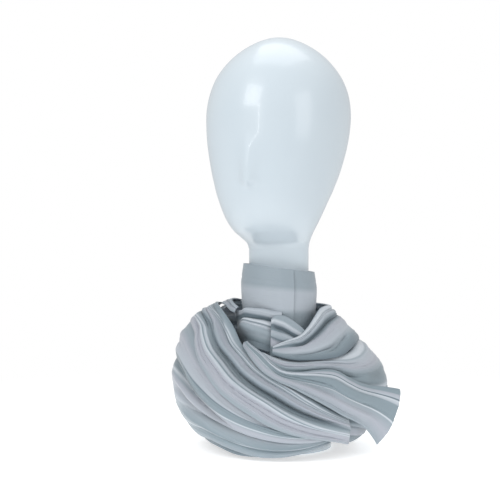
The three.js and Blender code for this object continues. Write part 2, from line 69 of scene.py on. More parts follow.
# Rows of a stretch: upTurn, upGirth, loTurn, loGirth, upLift, midLift, loLift.
# Rows of its folds: across, acrossEnd, from, to, height, half.
STRETCHES = {
    "inner_wrap": {
        "edges": [
            [-66, 5, -64, 20, -8, -26, -40],
            [-54, 5, -54, 22, -5, -16, -34],
            [-43, 5, -42, 24, 1, -6, -24],
            [-31, 4, -30, 26, 2, -3, -14],
            [-20, 3, -19, 27, 2, -2, -9],
            [-8, 3, -7, 27, 1, -3, -9],
            [2, 3, 2, 25, 1.5, -3, -9],
        ],
        "folds": [
            [0.3, 0.25, 0.1, 0.9, -1.6, 0.08],
            [0.55, 0.5, 0.1, 0.9, 1.5, 0.1],
        ],
    },
    "turned_fold": {
        "edges": [
            [-10, 9, -9, 30, 3, 1, -7],
            [-5, 6, -3, 30, 3, 1, -8],
            [5, 6, 6, 28, 3, 0, -8],
            [14, 9, 15, 27, 3, -1, -8],
            [22, 13, 24, 26, 1, -3, -8],
            [30, 17, 32, 25, -4, -6, -8],
        ],
        "folds": [
            [0.2, 0.75, 0.0, 1.0, -1.8, 0.09],
            [0.5, 1.0, 0.0, 0.8, 1.6, 0.1],
        ],
    },
    "upper_loop": {
        "edges": [
            [-7, 26, -7, 31, -2, -2, -2],
            [1, 23, 2, 34, 0, 0, 1],
            [10, 21, 12, 36, 1, 2, 2],
            [20, 19, 22, 37, 1, 2, 2],
            [31, 14, 32, 38, 1, 2, 2],
            [43, 8, 43, 38, 1, 1, 2],
            [58, 3, 56, 35, 1, 1, 1],
            [74, 2, 70, 32, 1, 1, 1],
            [92, 3, 92, 31, 1, 1, 1],
            [120, 3, 120, 35, 0, 0, 2],
            [150, 3, 150, 38, 0, 0, 2],
            [180, 3, 180, 38, 0, 0, 2],
            [208, 3, 208, 38, 0, 0, 2],
            [232, 3, 230, 37, -2, -2, -2],
            [254, 4, 250, 33, -3, -5, -6],
            [276, 5, 268, 28, -4, -8, -10],
        ],
        "folds": [
            [0.3, 0.3, 0.1, 0.5, -2.6, 0.1],
            [0.62, 0.55, 0.15, 0.45, -2.0, 0.08],
            [0.4, 0.6, 0.5, 0.95, -2.8, 0.12],
            [0.75, 0.3, 0.45, 0.8, 2.0, 0.1],
        ],
    },
    "lower_loop": {
        "edges": [
            [-25, 30, -27, 32, -12, -12, -12],
            [-16, 31, -17, 35, -4, -3, -4],
            [-6, 32, -7, 42, -4.7, 0, -5],
            [4, 33, 3, 47, -4.7, 0, -5],
            [15, 34, 14, 48, -4.7, 0, -5],
            [27, 35, 26, 49, -3.1, 0, -5],
            [39, 36, 36, 53, -2.1, 0, -5],
            [51, 36, 47, 61, -2.1, 1, -5],
            [63, 34, 58, 66, -2.1, 1, -4],
            [76, 30, 70, 70, -2.1, 1, -1],
            [92, 26, 90, 71, -3.1, 1, 1],
            [118, 28, 118, 69, -1.5, 0, 1],
            [146, 32, 146, 67, -1.5, 0, 0],
            [170, 32, 170, 66, -1.5, -2, -2],
            [192, 32, 192, 65, -1.5, -3, -3],
            [216, 32, 216, 63, -7, -5, -5],
            [238, 34, 240, 60, -12, -11, -12],
        ],
        "folds": [
            [0.75, 0.5, 0.15, 0.5, -2.4, 0.1],
            [0.5, 0.75, 0.45, 0.9, -2.8, 0.1],
            [0.8, 0.5, 0.55, 0.85, 2.0, 0.1],
        ],
    },
    "tail": {
        "edges": [
            [-30, 26, -32, 28, -6, -6, -6],
            [-26, 28, -30, 31, -3, -3, -3],
            [-19, 31, -25, 35, 0, 0, 0],
            [-12, 34, -19, 40, 1, 2, 1],
            [-5, 39, -11, 46, 2, 3, 2],
            [2, 43, -3, 50, 2, 3, 2],
            [13, 44, 6, 54, 2, 3, 2],
            [24, 44, 15, 60, 2, 3, 2],
            [35, 46, 24, 67, 2, 3, 2],
            [43, 52, 34, 75, 2, 3, 3],
            [51, 57, 43, 80, 2, 3, 4],
            [60, 61, 53, 85, 6, 6, 6],
            [67, 65, 62, 91, 24, 22, 20],
        ],
        "folds": [
            [0.3, 0.85, 0.3, 0.75, -2.2, 0.1],
            [0.55, 0.35, 0.55, 1.0, 2.0, 0.12],
        ],
    },
    "front_sweep": {
        "edges": [
            [-114, 13, -120, 30, 1, 1, 1],
            [-98, 13, -104, 31, 2, 2, 1],
            [-83, 13, -91, 32, 2, 3, 2],
            [-69, 14, -79, 33, 1, 3, 2],
            [-56, 17, -68, 36, -1, 3, 2],
            [-44, 22, -62, 42, -3, 3, 2],
            [-35, 28, -55, 49, -6.7, 2, 2],
            [-24, 34, -47, 55, -5.7, 1, 2],
            [-15, 40, -38, 62, -4.7, 1, 2],
            [-6, 45, -29, 67, -3.4, 1, 2],
            [5, 51, -17, 73, -3.4, 1, 2],
            [16, 60, -4, 80, -3.4, 1, 2],
            [26, 69, 12, 86, -3.4, 1, 2],
            [34, 75, 30, 91, -3.4, 1, 1],
            [41, 79, 48, 96, -3.4, -1, 0],
        ],
        "folds": [
            [0.25, 0.4, 0.05, 0.5, -2.4, 0.08],
            [0.62, 0.42, 0.15, 1.0, -3.2, 0.09],
            [0.8, 0.62, 0.05, 0.95, 1.8, 0.07],
            [0.5, 0.25, 0.2, 0.8, 1.6, 0.08],
        ],
    },
    "left_loop": {
        "edges": [
            [-196, 63, -196, 94, 2, 1, 0],
            [-176, 59, -176, 96, 3, 2, 1],
            [-154, 52, -154, 96, 2, 2, 1],
            [-132, 43, -132, 95, 1, 2, 1],
            [-112, 34, -114, 94, 0, 1, 0],
            [-94, 30, -98, 93, -1, 0, 0],
            [-78, 30, -84, 93, -4, 0, 0],
            [-66, 36, -72, 93, -5, 0, 0],
            [-56, 44, -61, 93, -5, 0, 0],
            [-47, 51, -51, 93, -5, 0, 0],
            [-38, 57, -41, 95, -5, 0, 0],
            [-27, 63, -30, 97, -5, 0, 0],
            [-15, 69, -17, 99, -5, 0, 0],
            [-1, 76, -2, 99, -5, 0, 0],
            [14, 82, 14, 97, -5, -1, 0],
            [31, 87, 32, 95, -6, -5, -5],
        ],
        "folds": [
            [0.3, 0.62, 0.3, 0.75, -3.0, 0.07],
            [0.55, 0.72, 0.35, 0.8, -2.4, 0.07],
            [0.8, 0.6, 0.4, 1.0, -2.0, 0.06],
            [0.4, 0.5, 0.0, 0.4, -3.0, 0.09],
            [0.7, 0.65, 0.05, 0.4, 2.0, 0.08],
        ],
    },
    "under_layer": {
        "edges": [
            [-84, 84, -84, 95, -5.1, -5.1, -5.1],
            [-68, 84, -66, 97, -5.1, -5.1, -4.1],
            [-52, 86, -48, 98, -5.1, -4.1, -3.1],
            [-36, 87, -33, 100, -5.1, -4.1, -2.1],
            [-20, 88, -18, 100, -5.1, -4.1, -2.1],
            [-6, 88, -4, 100, -5.1, -4.1, -4.1],
            [8, 87, 8, 97, -6.1, -6.1, -6.1],
        ],
        "folds": [],
    },
    "back_roll": {
        "edges": [
            [34, 81, 34, 93, -13, -13, -12],
            [50, 78, 50, 95, -12, -11, -10],
            [66, 71, 66, 97, -9, -8, -8],
            [84, 63, 84, 97, -7, -2, -3],
            [110, 61, 110, 97, -4.8, 0, 0],
            [136, 60, 136, 97, -4.8, 0, 0],
            [162, 60, 162, 96, -4.8, -3, -3],
            [186, 62, 186, 94, -7, -8, -8],
        ],
        "folds": [
            [0.6, 0.5, 0.1, 0.9, -2.6, 0.11],
        ],
    },
    "end_fold": {
        "edges": [
            [34, 80, 35, 93, -9, -9, -9],
            [43, 80, 44, 96, -8, -7, -7],
            [53, 81, 54, 97, -4, -3, -4],
            [64, 85, 65, 96, -3, -2, -3],
            [74, 88, 75, 94, -3, -3, -3],
        ],
        "folds": [],
    },
    "crown_fold": {
        "edges": [
            [-130, 3, -128, 12, 0.4, 0.4, 0.4],
            [-112, 2, -110, 10, 1.4, 1.4, 0.4],
            [-94, 2, -92, 10, 1.4, 1.4, 0.4],
            [-78, 3, -76, 9, 1.4, 1.4, 0.4],
            [-67, 4, -65, 10, -0.6, 0.4, -1.6],
            [-58, 5, -57, 10, -1.6, -1.6, -2.6],
        ],
        "folds": [],
    },
}

# %% [markdown]
# The neck band is a ribbon that stands round the neck and laps over itself in front. It isn't drawn on
# the heap: its wall has an [out, up] of its own at five heights, in mm, and it leans with tilt.

# %% The neck band
BAND = {"turnStart": 2, "turns": 378, "lapFrom": 0.9, "lapLift": 2.4, "forward": 4.6, "tilt": 5}
BAND_WALL = [[40, 126], [40.4, 146], [42, 165], [42.6, 184], [40, 203]]

# %% [markdown]
# Narrow folds need small cells. A stretch that is long or faces the front gets the most of them.

# %% Cells along and across each fine surface
CELLS = {
    "neck_band": (200, 60), "inner_wrap": (110, 70), "turned_fold": (80, 60), "upper_loop": (270, 80),
    "lower_loop": (270, 80), "tail": (240, 90), "front_sweep": (300, 120), "left_loop": (300, 120),
    "under_layer": (90, 24), "back_roll": (170, 70), "end_fold": (70, 40), "crown_fold": (80, 30),
}

# %% [markdown]
# Thin cloth that is gathered lies in long creases with a few rolls between them. The main ones are
# listed, one row each: across at the start and end, from and to along, height and half width.

# %% Creases of each stretch
# A crease below zero is a sharp valley, one above zero is a soft roll.
CREASES = {
    "neck_band": [
        [0.84, 0.80, 0.0, 1.0, -0.5, 0.02],
    ],
    "inner_wrap": [
        [0.12, 0.10, 0.1, 1.1, 1.6, 0.06],
        [0.28, 0.24, 0.1, 1.1, -3.0, 0.05],
        [0.40, 0.36, 0.1, 1.1, 1.8, 0.06],
        [0.52, 0.47, 0.1, 1.1, -2.0, 0.035],
        [0.66, 0.64, 0.0, 1.1, 2.0, 0.07],
        [0.82, 0.86, 0.0, 1.1, -2.2, 0.05],
    ],
    "turned_fold": [
        [0.10, 0.45, -0.1, 1.1, 1.6, 0.06],
        [0.22, 0.70, -0.1, 1.1, -2.6, 0.05],
        [0.42, 0.90, -0.1, 1.0, 1.8, 0.07],
        [0.60, 1.10, -0.1, 0.9, -1.8, 0.04],
        [0.80, 0.90, -0.1, 0.7, -1.4, 0.04],
    ],
    "upper_loop": [
        [0.07, 0.07, 0.05, 1.0, 1.8, 0.05],
        [0.16, 0.13, 0.02, 0.8, -1.8, 0.025],
        [0.24, 0.21, 0.02, 0.7, 1.6, 0.05],
        [0.36, 0.30, 0.05, 0.6, -3.4, 0.05],
        [0.60, 0.52, 0.1, 0.5, 2.2, 0.10],
        [0.78, 0.66, 0.05, 0.42, -2.6, 0.035],
        [0.95, 0.55, 0.28, 0.48, -2.6, 0.04],
    ],
    "lower_loop": [
        [0.50, 0.30, 0.05, 0.35, -2.0, 0.03],
        [0.40, 0.52, 0.15, 0.45, 2.0, 0.08],
        [0.62, 0.62, 0.2, 0.5, -2.4, 0.035],
        [0.95, 0.70, 0.32, 0.50, -3.0, 0.04],
        [0.30, 0.30, 0.30, 0.50, -1.8, 0.03],
    ],
    "tail": [
        [0.10, 0.30, 0.28, 0.62, 1.6, 0.06],
        [0.18, 0.62, 0.30, 0.75, -2.4, 0.03],
        [0.45, 0.28, 0.55, 1.05, 1.2, 0.05],
        [0.62, 0.50, 0.50, 1.05, -1.4, 0.03],
        [0.80, 0.74, 0.45, 1.05, 1.4, 0.06],
        [0.88, 0.90, 0.40, 0.95, -1.2, 0.03],
    ],
    "front_sweep": [
        [0.20, 0.06, 0.28, 0.85, 1.4, 0.03],
        [0.30, 0.14, 0.22, 0.90, -2.4, 0.025],
        [0.40, 0.30, 0.10, 0.95, 1.8, 0.05],
        [0.60, 0.34, 0.32, 1.0, -4.5, 0.06],
        [0.68, 0.46, 0.30, 1.0, -1.8, 0.02],
        [0.82, 0.56, 0.10, 1.0, 2.2, 0.05],
        [0.88, 0.66, 0.08, 1.0, -1.8, 0.022],
        [0.93, 0.80, 0.10, 0.8, 1.6, 0.04],
        [0.70, 0.86, 0.60, 1.0, -2.0, 0.03],
        [0.15, 0.30, 0.0, 0.36, -2.8, 0.03],
        [0.45, 0.45, 0.0, 0.38, -2.8, 0.03],
        [0.62, 0.58, 0.0, 0.34, -2.6, 0.03],
    ],
    "left_loop": [
        [0.42, 0.42, 0.32, 0.50, -1.6, 0.02],
        [0.34, 0.62, 0.36, 0.78, -3.6, 0.035],
        [0.40, 0.72, 0.34, 0.80, 2.0, 0.04],
        [0.55, 0.66, 0.36, 0.82, -3.0, 0.030],
        [0.62, 0.74, 0.34, 0.90, 1.8, 0.04],
        [0.80, 0.58, 0.40, 0.98, -2.8, 0.028],
        [0.86, 0.72, 0.42, 1.0, 1.6, 0.04],
        [0.92, 0.82, 0.45, 1.0, -1.6, 0.02],
        [0.18, 0.18, 0.30, 0.55, 1.6, 0.04],
        [0.25, 0.30, 0.02, 0.42, -2.4, 0.03],
        [0.50, 0.45, 0.0, 0.40, 2.0, 0.05],
        [0.72, 0.62, 0.0, 0.42, -2.6, 0.03],
    ],
    "under_layer": [[0.6, 0.6, 0.0, 1.0, -1.0, 0.06]],
    "back_roll": [
        [0.30, 0.26, 0.0, 1.0, -2.6, 0.04],
        [0.46, 0.40, 0.1, 0.9, 2.0, 0.06],
        [0.66, 0.70, 0.0, 1.0, -2.2, 0.035],
        [0.82, 0.80, 0.0, 1.0, 1.4, 0.05],
    ],
    "end_fold": [
        [0.35, 0.45, 0.0, 1.0, -2.0, 0.05],
        [0.65, 0.60, 0.0, 1.0, 1.4, 0.07],
    ],
    "crown_fold": [
        [0.35, 0.40, 0.0, 1.0, -1.6, 0.06],
        [0.70, 0.65, 0.0, 1.0, -1.4, 0.05],
    ],
}
# %% [markdown]
# Between the main creases lie many small pleats. They differ on every scarf, so a seeded draw makes
# them: how many, their greatest height in mm, and the seed.

# %% Small pleats
PLEATS = {
    "neck_band": (5, 0.35, 11), "inner_wrap": (8, 0.5, 12), "turned_fold": (6, 0.5, 13),
    "upper_loop": (26, 0.9, 14), "lower_loop": (26, 0.9, 15), "tail": (16, 0.6, 16),
    "front_sweep": (30, 0.9, 17), "left_loop": (34, 0.9, 18), "under_layer": (8, 0.5, 19),
    "back_roll": (20, 0.9, 20), "end_fold": (6, 0.5, 21), "crown_fold": (6, 0.6, 22),
}

# %% [markdown]
# The cloth is woven in stripes that run along it. A stretch's stripes are a list of places across it
# with a tone at each, and the tones are few, as dyed yarns are. The darkest tone is a dark yarn in thin
# lines, and painted shade in its broad bands, where a stretch lies in a valley or under another layer.

# %% Tones and stripes
TONES = {
    # The darkest tone is both a dark yarn and painted shade in valleys and under other layers.
    "dark_yarn_and_shade": (0.40, 0.46, 0.50), "teal": (0.52, 0.58, 0.615), "grey": (0.59, 0.64, 0.675),
    "lilac": (0.66, 0.68, 0.72), "pale": (0.69, 0.725, 0.76), "white": (0.78, 0.81, 0.84),
}
# Stripes across each stretch: [across, tone]. Between two rows the tone changes evenly.
STRIPES = {
    "neck_band": [[0, "teal"], [0.34, "grey"], [0.42, "pale"], [0.66, "pale"], [0.74, "grey"],
                  [1, "grey"]],
    "inner_wrap": [
        [0, "pale"], [0.16, "pale"], [0.20, "dark_yarn_and_shade"], [0.28, "teal"], [0.33, "white"], [0.40, "white"],
        [0.43, "dark_yarn_and_shade"], [0.47, "white"], [0.52, "pale"], [0.56, "grey"], [0.74, "grey"], [0.78, "teal"],
        [1, "dark_yarn_and_shade"]],
    "turned_fold": [
        [0, "grey"], [0.08, "white"], [0.13, "pale"], [0.17, "dark_yarn_and_shade"], [0.34, "teal"], [0.38, "pale"],
        [0.52, "grey"], [0.55, "dark_yarn_and_shade"], [0.60, "lilac"], [0.74, "lilac"], [0.78, "teal"], [1, "teal"]],
    "upper_loop": [
        [0, "grey"], [0.03, "white"], [0.09, "white"], [0.11, "grey"], [0.13, "white"], [0.19, "pale"],
        [0.23, "grey"], [0.28, "dark_yarn_and_shade"], [0.37, "teal"], [0.44, "lilac"], [0.66, "pale"], [0.76, "grey"],
        [0.82, "teal"], [1, "dark_yarn_and_shade"]],
    "lower_loop": [
        [0, "grey"], [0.10, "white"], [0.16, "white"], [0.20, "grey"], [0.24, "pale"], [0.42, "lilac"],
        [0.52, "grey"], [0.58, "teal"], [0.78, "teal"], [0.82, "pale"], [0.88, "grey"], [1, "teal"]],
    "tail": [
        [0, "teal"], [0.10, "teal"], [0.12, "lilac"], [0.18, "pale"], [0.19, "dark_yarn_and_shade"], [0.205, "dark_yarn_and_shade"],
        [0.22, "white"], [0.28, "pale"], [0.30, "teal"], [0.56, "teal"], [0.57, "white"],
        [0.59, "white"], [0.60, "grey"], [0.78, "lilac"], [1, "grey"]],
    "front_sweep": [
        [0, "teal"], [0.10, "grey"], [0.14, "white"], [0.155, "grey"], [0.17, "teal"], [0.19, "white"],
        [0.21, "grey"], [0.30, "lilac"], [0.40, "grey"], [0.46, "dark_yarn_and_shade"], [0.52, "teal"],
        [0.60, "grey"], [0.62, "white"], [0.65, "pale"], [0.66, "teal"], [0.67, "teal"],
        [0.68, "white"], [0.71, "pale"], [0.74, "lilac"], [0.90, "lilac"], [1, "grey"]],
    "left_loop": [
        [0, "teal"], [0.12, "grey"], [0.18, "lilac"], [0.33, "pale"], [0.345, "dark_yarn_and_shade"], [0.36, "teal"],
        [0.46, "teal"], [0.48, "white"], [0.50, "grey"], [0.52, "lilac"], [0.68, "pale"],
        [0.74, "grey"], [0.80, "teal"], [0.84, "teal"], [0.85, "white"], [0.87, "grey"],
        [0.90, "teal"], [1, "grey"]],
    "under_layer": [[0, "dark_yarn_and_shade"], [0.6, "teal"], [0.8, "dark_yarn_and_shade"], [1, "teal"]],
    "back_roll": [
        [0, "teal"], [0.2, "grey"], [0.24, "white"], [0.28, "grey"], [0.36, "lilac"], [0.58, "pale"],
        [0.62, "dark_yarn_and_shade"], [0.65, "teal"], [0.82, "teal"], [0.85, "white"], [0.88, "grey"], [1, "teal"]],
    "end_fold": [[0, "dark_yarn_and_shade"], [0.2, "dark_yarn_and_shade"], [0.3, "grey"], [0.62, "lilac"], [0.7, "dark_yarn_and_shade"], [1, "grey"]],
    "crown_fold": [[0, "grey"], [0.4, "pale"], [0.5, "dark_yarn_and_shade"], [0.6, "lilac"], [1, "grey"]],
}
# How far the stripes have slid across the stretch at its start, middle and end.
STRIPE_SLIDE = {
    "turned_fold": (0.0, -0.22, -0.42), "front_sweep": (-0.26, 0.02, 0.0), "tail": (0.0, 0.03, 0.0),
    "left_loop": (0.0, 0.0, 0.12),
}

# %% [markdown]
# The heap's form and each strip are functions of whole arrays, so that a fine grid costs one call. The
# slope of the form gives the direction in which a lift moves a point.

# %% Smooth steps and curves
def smooth(share):
    """3 s^2 - 2 s^3, with s held between 0 and 1."""
    s = np.clip(share, 0, 1)
    return s * s * (3 - 2 * s)


def cubic(a, b, c, d, s):
    """The smooth curve from b (s = 0) to c (s = 1), whose slopes come from the neighbours a and d."""
    return b + 0.5 * s * (c - a + s * (2 * a - 5 * b + 4 * c - d + s * (3 * (b - c) + d - a)))


def through_list(values, place):
    """A smooth curve through evenly spaced values, which carries straight on past both ends."""
    values = np.asarray(values, float)
    first = 2 * values[0] - values[1]
    last = 2 * values[-1] - values[-2]
    padded = np.concatenate([[2 * first - values[0], first], values, [last, 2 * last - values[-1]]])
    i = np.clip(np.floor(place).astype(int), -1, len(values) - 1)
    return cubic(*(padded[i + k] for k in (1, 2, 3, 4)), place - i)


# %% The surface of the heap
def heap_section(turn, girth):
    """[out, up] in mm: a smooth curve down each section, then a smooth curve round the rows."""
    place = (turn + 180) / HEAP_ROW_TURN
    row = np.floor(place).astype(int)
    sections = np.asarray(HEAP, float)
    result = []
    for axis in (0, 1):
        down = [through_list(section[:, axis], girth / GIRTH_STEP) for section in sections]
        down = np.stack(down)
        around = [np.take_along_axis(down, ((row + k) % len(HEAP))[None], 0)[0] for k in (-1, 0, 1, 2)]
        result.append(cubic(*around, place - row))
    return result


def heap_point(turn, girth, lift):
    """Points in mm: the section's [out, up] moved out along its own slope by lift, then turned round."""
    out, up = heap_section(turn, girth)
    out_before, up_before = heap_section(turn, girth - 1)
    out_after, up_after = heap_section(turn, girth + 1)
    slope_out, slope_up = up_before - up_after, out_after - out_before
    size = np.hypot(slope_out, slope_up)
    reach = out + slope_out / size * lift
    angle = np.radians(turn)
    return np.stack([reach * np.sin(angle), -reach * np.cos(angle), up + slope_up / size * lift], -1)


front = heap_point(np.zeros(1), np.full(1, 50.0), np.zeros(1))[0]
print("front of the heap halfway down, mm", front.round(1))

# %% [markdown]
# A fold is a ridge or a trough that runs along the strip and drifts across it. Its height over the
# distance from its middle is a bell for a soft roll, and a pointed hollow for a crease, because thin
# cloth bends sharply where it is pressed in.

# %% Folds, creases and pleats
SOFT_END = 0.25
PLEAT_ACROSS = (0.06, 0.94)
PLEAT_BEGINS = (-0.2, 0.75)
PLEAT_RUN = (0.2, 0.6)
PLEAT_DRIFT = 0.07
PLEAT_RIDGES = 0.45
PLEAT_SHARE = (0.4, 1.0)
PLEAT_HALF = (0.010, 0.028)


def window(along, start, end):
    """1 inside the run from start to end, with soft ends."""
    share = (along - start) / (end - start)
    return smooth(share / SOFT_END) * smooth((1 - share) / SOFT_END)


def fold_height(rows, along, across, pointed):
    """Sum of the rows' heights in mm: bell shapes, or exp(-distance) hollows where pointed."""
    height = np.zeros_like(along)
    for start, end, begins, stops, top, half in rows:
        middle = start + (end - start) * along
        distance = np.abs(across - middle) / half
        shape = np.exp(-distance) if pointed and top < 0 else np.exp(-distance ** 2)
        height += top * window(along, begins, stops) * shape
    return height


def pleat_rows(name):
    """Seeded small pleats, uneven in length, depth and spacing."""
    count, top, seed = PLEATS[name]
    draw = np.random.default_rng(seed)
    rows = []
    for _ in range(count):
        start = draw.uniform(*PLEAT_ACROSS)
        begins = draw.uniform(*PLEAT_BEGINS)
        sign = 1 if draw.uniform() < PLEAT_RIDGES else -1
        rows.append([start, start + draw.normal(0, PLEAT_DRIFT), begins, begins + draw.uniform(*PLEAT_RUN),
                     sign * top * draw.uniform(*PLEAT_SHARE), draw.uniform(*PLEAT_HALF)])
    return rows


print("small pleats", sum(row[0] for row in PLEATS.values()))

# %% [markdown]
# A strip's point is read from its two edges, then lifted by its own rows and by its folds. The folds
# fade out at the hems, and the hems roll inwards a little, as a cut edge of chiffon does.

# %% The surface of a stretch
LIFT_BLEND = 0.5
FOLD_FADE = 0.2
CREASE_FADE = 0.05
HEM_ROLL = 0.025
HEM_TUCK = 1.2
HEM_SHADE = 2.0
BAND_LAP_RUN = 0.06


def strip_point(name, along, across):
    """Points of a stretch: both edges read from its rows, straight between them, lifted by its folds."""
    rows = np.asarray(STRETCHES[name]["edges"], float)
    place = along * (len(rows) - 1)
    column = [through_list(rows[:, k], place) for k in range(7)]
    turn = column[0] + (column[2] - column[0]) * across
    girth = column[1] + (column[3] - column[1]) * across
    upper = 1 - smooth(across / LIFT_BLEND)
    lower = 1 - smooth((1 - across) / LIFT_BLEND)
    lift = column[4] * upper + column[5] * (1 - upper - lower) + column[6] * lower
    edge = smooth(across / FOLD_FADE) * smooth((1 - across) / FOLD_FADE)
    fine = smooth(across / CREASE_FADE) * smooth((1 - across) / CREASE_FADE)
    relief = fold_height(STRETCHES[name]["folds"], along, across, False) * edge
    creases = fold_height(CREASES[name], along, across, True)
    creases += fold_height(pleat_rows(name), along, across, True)
    rolled = np.exp(-across / HEM_ROLL) + np.exp(-(1 - across) / HEM_ROLL)
    total = lift + relief + creases * fine - HEM_TUCK * rolled
    # The second value sets the painted shade: pressed-in creases and the rolled hems are painted darker.
    return heap_point(turn, girth, total), relief + creases * fine - HEM_SHADE * rolled, lift


def band_point(along, across):
    """Points of the neck band: one ribbon round the neck whose last stretch climbs over its first."""
    angle = np.radians(BAND["turnStart"] + BAND["turns"] * along)
    place = across * (len(BAND_WALL) - 1)
    wall = np.asarray(BAND_WALL, float)
    creases = fold_height(CREASES["neck_band"] + pleat_rows("neck_band"), along, across, True)
    lap = BAND["lapLift"] * smooth((along - BAND["lapFrom"]) / BAND_LAP_RUN)
    out = through_list(wall[:, 0], place) + lap + creases
    up = through_list(wall[:, 1], place) - BAND["tilt"] * np.sin(angle) * across
    points = np.stack([out * np.sin(angle), -out * np.cos(angle) - BAND["forward"], up], -1)
    return points, creases, np.zeros_like(along)


# %% [markdown]
# A wall is the surface moved out by half its thickness, the same moved in, and a rim between them, so
# every stretch is one closed mesh that faces outwards.

# %% A mesh from a grid
SHARP_ANGLE = 60


def grid_faces(rows, columns):
    """Corners of the cells of a grid, as four columns of indices."""
    i, j = np.meshgrid(np.arange(rows - 1), np.arange(columns - 1), indexing="ij")
    a = (i * columns + j).ravel()
    return np.stack([a, a + 1, a + columns + 1, a + columns], 1)


def new_mesh(name, points, faces):
    """A mesh object at the origin from points in metres, with smooth faces."""
    mesh = bpy.data.meshes.new(name)
    mesh.from_pydata(points.tolist(), [], faces.tolist())
    mesh.update()
    mesh.shade_smooth()
    mesh.set_sharp_from_angle(angle=math.radians(SHARP_ANGLE))
    piece = bpy.data.objects.new(name, mesh)
    bpy.context.collection.objects.link(piece)
    return piece


# %% From a surface to a closed wall
ROW_CROWDING = 0.06
DEEP_FROM = 4
DEEP_OVER = 14
CREASE_SHADE = 0.6
CREASE_DEEP = 5


def cloth_piece(name):
    """A closed wall on the stretch's fine surface, with a UV map in shares along and across."""
    cells_along, cells_across = CELLS[name]
    even = np.linspace(0, 1, cells_across + 1)
    spacing = even - ROW_CROWDING * np.sin(2 * np.pi * even)
    along, across = np.meshgrid(np.linspace(0, 1, cells_along + 1), spacing, indexing="ij")
    surface = band_point if name == "neck_band" else lambda a, c: strip_point(name, a, c)
    middle, relief, lift = surface(along, across)
    run = np.gradient(middle, axis=0)
    rise = np.gradient(middle, axis=1)
    normal = np.cross(rise, run)
    normal /= np.linalg.norm(normal, axis=-1, keepdims=True)
    half = CLOTH_THICK / 2
    outer = (middle + normal * half).reshape(-1, 3)
    inner = (middle - normal * half).reshape(-1, 3)
    count = len(outer)
    front = grid_faces(*along.shape)
    number = np.arange(count).reshape(along.shape)
    loop = np.concatenate([number[:-1, 0], number[-1, :-1], number[:0:-1, -1], number[0, :0:-1]])
    after = np.roll(loop, -1)
    rim = np.stack([after, loop, loop + count, after + count], 1)
    faces = np.concatenate([front, front[:, ::-1] + count, rim])
    piece = new_mesh(name + "_cloth", np.concatenate([outer, inner]) * MM, faces)
    corners = faces.ravel() % count
    uv = np.stack([along.ravel()[corners], across.ravel()[corners]], 1).astype(np.float32)
    piece.data.uv_layers.new(name="cloth").data.foreach_set("uv", uv.ravel())
    # Painted shade: darker where the cloth sinks well under the heap's form, and in creases and rolled
    # hems.
    painted_shade = smooth((-lift - DEEP_FROM) / DEEP_OVER) + CREASE_SHADE * smooth(-relief / CREASE_DEEP)
    shade = piece.data.attributes.new("painted_shade", "FLOAT", "POINT")
    shade.data.foreach_set("value", np.tile(np.clip(painted_shade, 0, 1).ravel(), 2).astype(np.float32))
    length = np.linalg.norm(np.diff(middle, axis=0), axis=-1).sum(0).mean() * MM
    width = np.linalg.norm(np.diff(middle, axis=1), axis=-1).sum(1).mean() * MM
    return piece, width, length


# %% [markdown]
# A material is a small sum in nodes. Wrapping a socket in a class lets that sum be written as one, and
# one function adds every other node.

# %% Shader sums
class Value:
    """Wraps a shader socket, so that shader maths reads as a Python expression."""

    def __init__(self, tree, socket):
        self.tree = tree
        self.socket = socket

    def math(self, operation, other):
        node = add_node(self.tree, "ShaderNodeMath", {"operation": operation}, {0: self, 1: other})
        return Value(self.tree, node.outputs[0])

    def __add__(self, other):
        return self.math("ADD", other)

    def __mul__(self, other):
        return self.math("MULTIPLY", other)

    __radd__ = __add__
    __rmul__ = __mul__


def add_node(tree, kind, settings, sockets):
    """A node with its settings first, then the values or links of its sockets, by name or number."""
    node = tree.nodes.new(kind)
    for key, value in settings.items():
        setattr(node, key, value)
    for key, value in sockets.items():
        if isinstance(value, Value):
            tree.links.new(value.socket, node.inputs[key])
        else:
            node.inputs[key].default_value = value
    return node


def new_material(name, values):
    """A material with one Principled shader, and the plain values of its sockets."""
    material = bpy.data.materials.new(name)
    material.use_nodes = True
    shader = material.node_tree.nodes["Principled BSDF"]
    for socket, value in values.items():
        shader.inputs[socket].default_value = value
    return material, material.node_tree, shader


def linear(tone):
    """sRGB to linear light, with an alpha of 1."""
    return (*(v / 12.92 if v < 0.04045 else ((v + 0.055) / 1.055) ** 2.4 for v in tone), 1)


def set_ramp(ramp, stops):
    """Stops of [place, colour] in rising order."""
    while len(ramp.elements) > 1:
        ramp.elements.remove(ramp.elements[-1])
    ramp.elements[0].position = stops[0][0]
    ramp.elements[0].color = stops[0][1]
    for place, colour in stops[1:]:
        ramp.elements.new(place).color = colour


# %% [markdown]
# The stripes are woven along the cloth, so they follow the share across a stretch. Every tone goes
# through one colour ramp, and a curve slides the stripes across where the cloth lies askew. Hollows and
# creases get painted shade, a dark tone mixed into the colour. Streaks along the yarns roughen it.

# %% Striped chiffon
SHEEN = {"Sheen Weight": 0.25, "Sheen Roughness": 0.4}
STREAKS = {"along": 6.0, "across": 90.0, "detail": 3.0}
ROUGHNESS = {"least": 0.35, "more": 0.25}
CRINKLE = {"Strength": 0.35, "Distance": 0.0012}
# A dark tone mixed into the colour as painted shade.
PAINTED_SHADE_TONE = (0.05, 0.075, 0.10)
PAINTED_SHADE_SHARE = 0.5
CURVE_MIDDLE = 0.5


def slid_across(tree, name, along, across):
    """The place across, moved by a curve through the stretch's three slides."""
    start, middle, end = STRIPE_SLIDE.get(name, (0, 0, 0))
    slide = add_node(tree, "ShaderNodeFloatCurve", {}, {"Value": along})
    points = slide.mapping.curves[0].points
    slide.mapping.extend = "HORIZONTAL"
    points[0].location = (0, CURVE_MIDDLE + start)
    points[1].location = (1, CURVE_MIDDLE + end)
    points.new(CURVE_MIDDLE, CURVE_MIDDLE + middle)
    slide.mapping.update()
    return across + Value(tree, slide.outputs["Value"]) + (-CURVE_MIDDLE)


